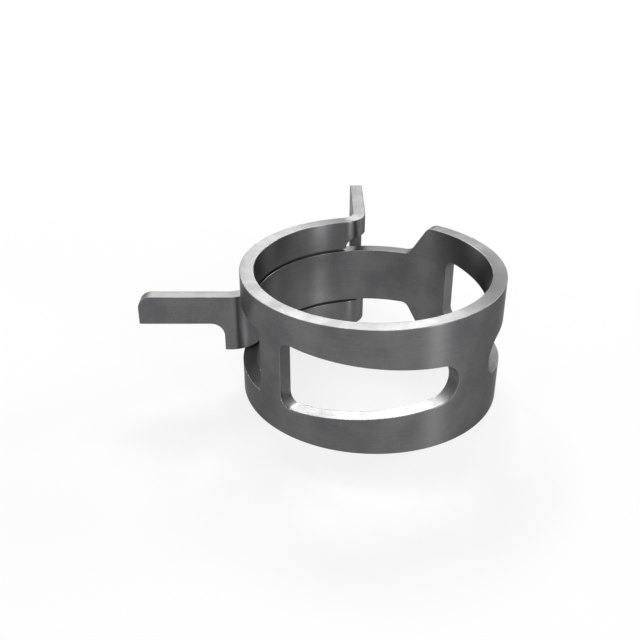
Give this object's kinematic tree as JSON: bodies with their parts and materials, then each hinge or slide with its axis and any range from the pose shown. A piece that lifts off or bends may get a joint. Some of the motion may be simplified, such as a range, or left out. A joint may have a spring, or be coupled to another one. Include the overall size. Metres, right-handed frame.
{
  "type": "spring band hose clamp",
  "caption": "Spring band hose clamp: a rolled steel strip whose narrow end passes through its forked end, with tapered windows in the ring and outward tangs that are squeezed to open it.",
  "frame": {"origin": "on the axis of the bore, in the plane of the band's lower edge", "axes": "+Z along the bore; the tongue's tang points along -X with its front face in the plane Y = 0, and the fork's tang points along +Y with its outer face in the plane X = 0"},
  "size_m": [0.0337, 0.0347, 0.012],
  "materials": {
    "coated_spring_steel": "satin grey zinc flake coat on hardened spring steel"
  },
  "bodies": {
    "root": {"spring_band": "coated_spring_steel"}
  },
  "joints": []
}
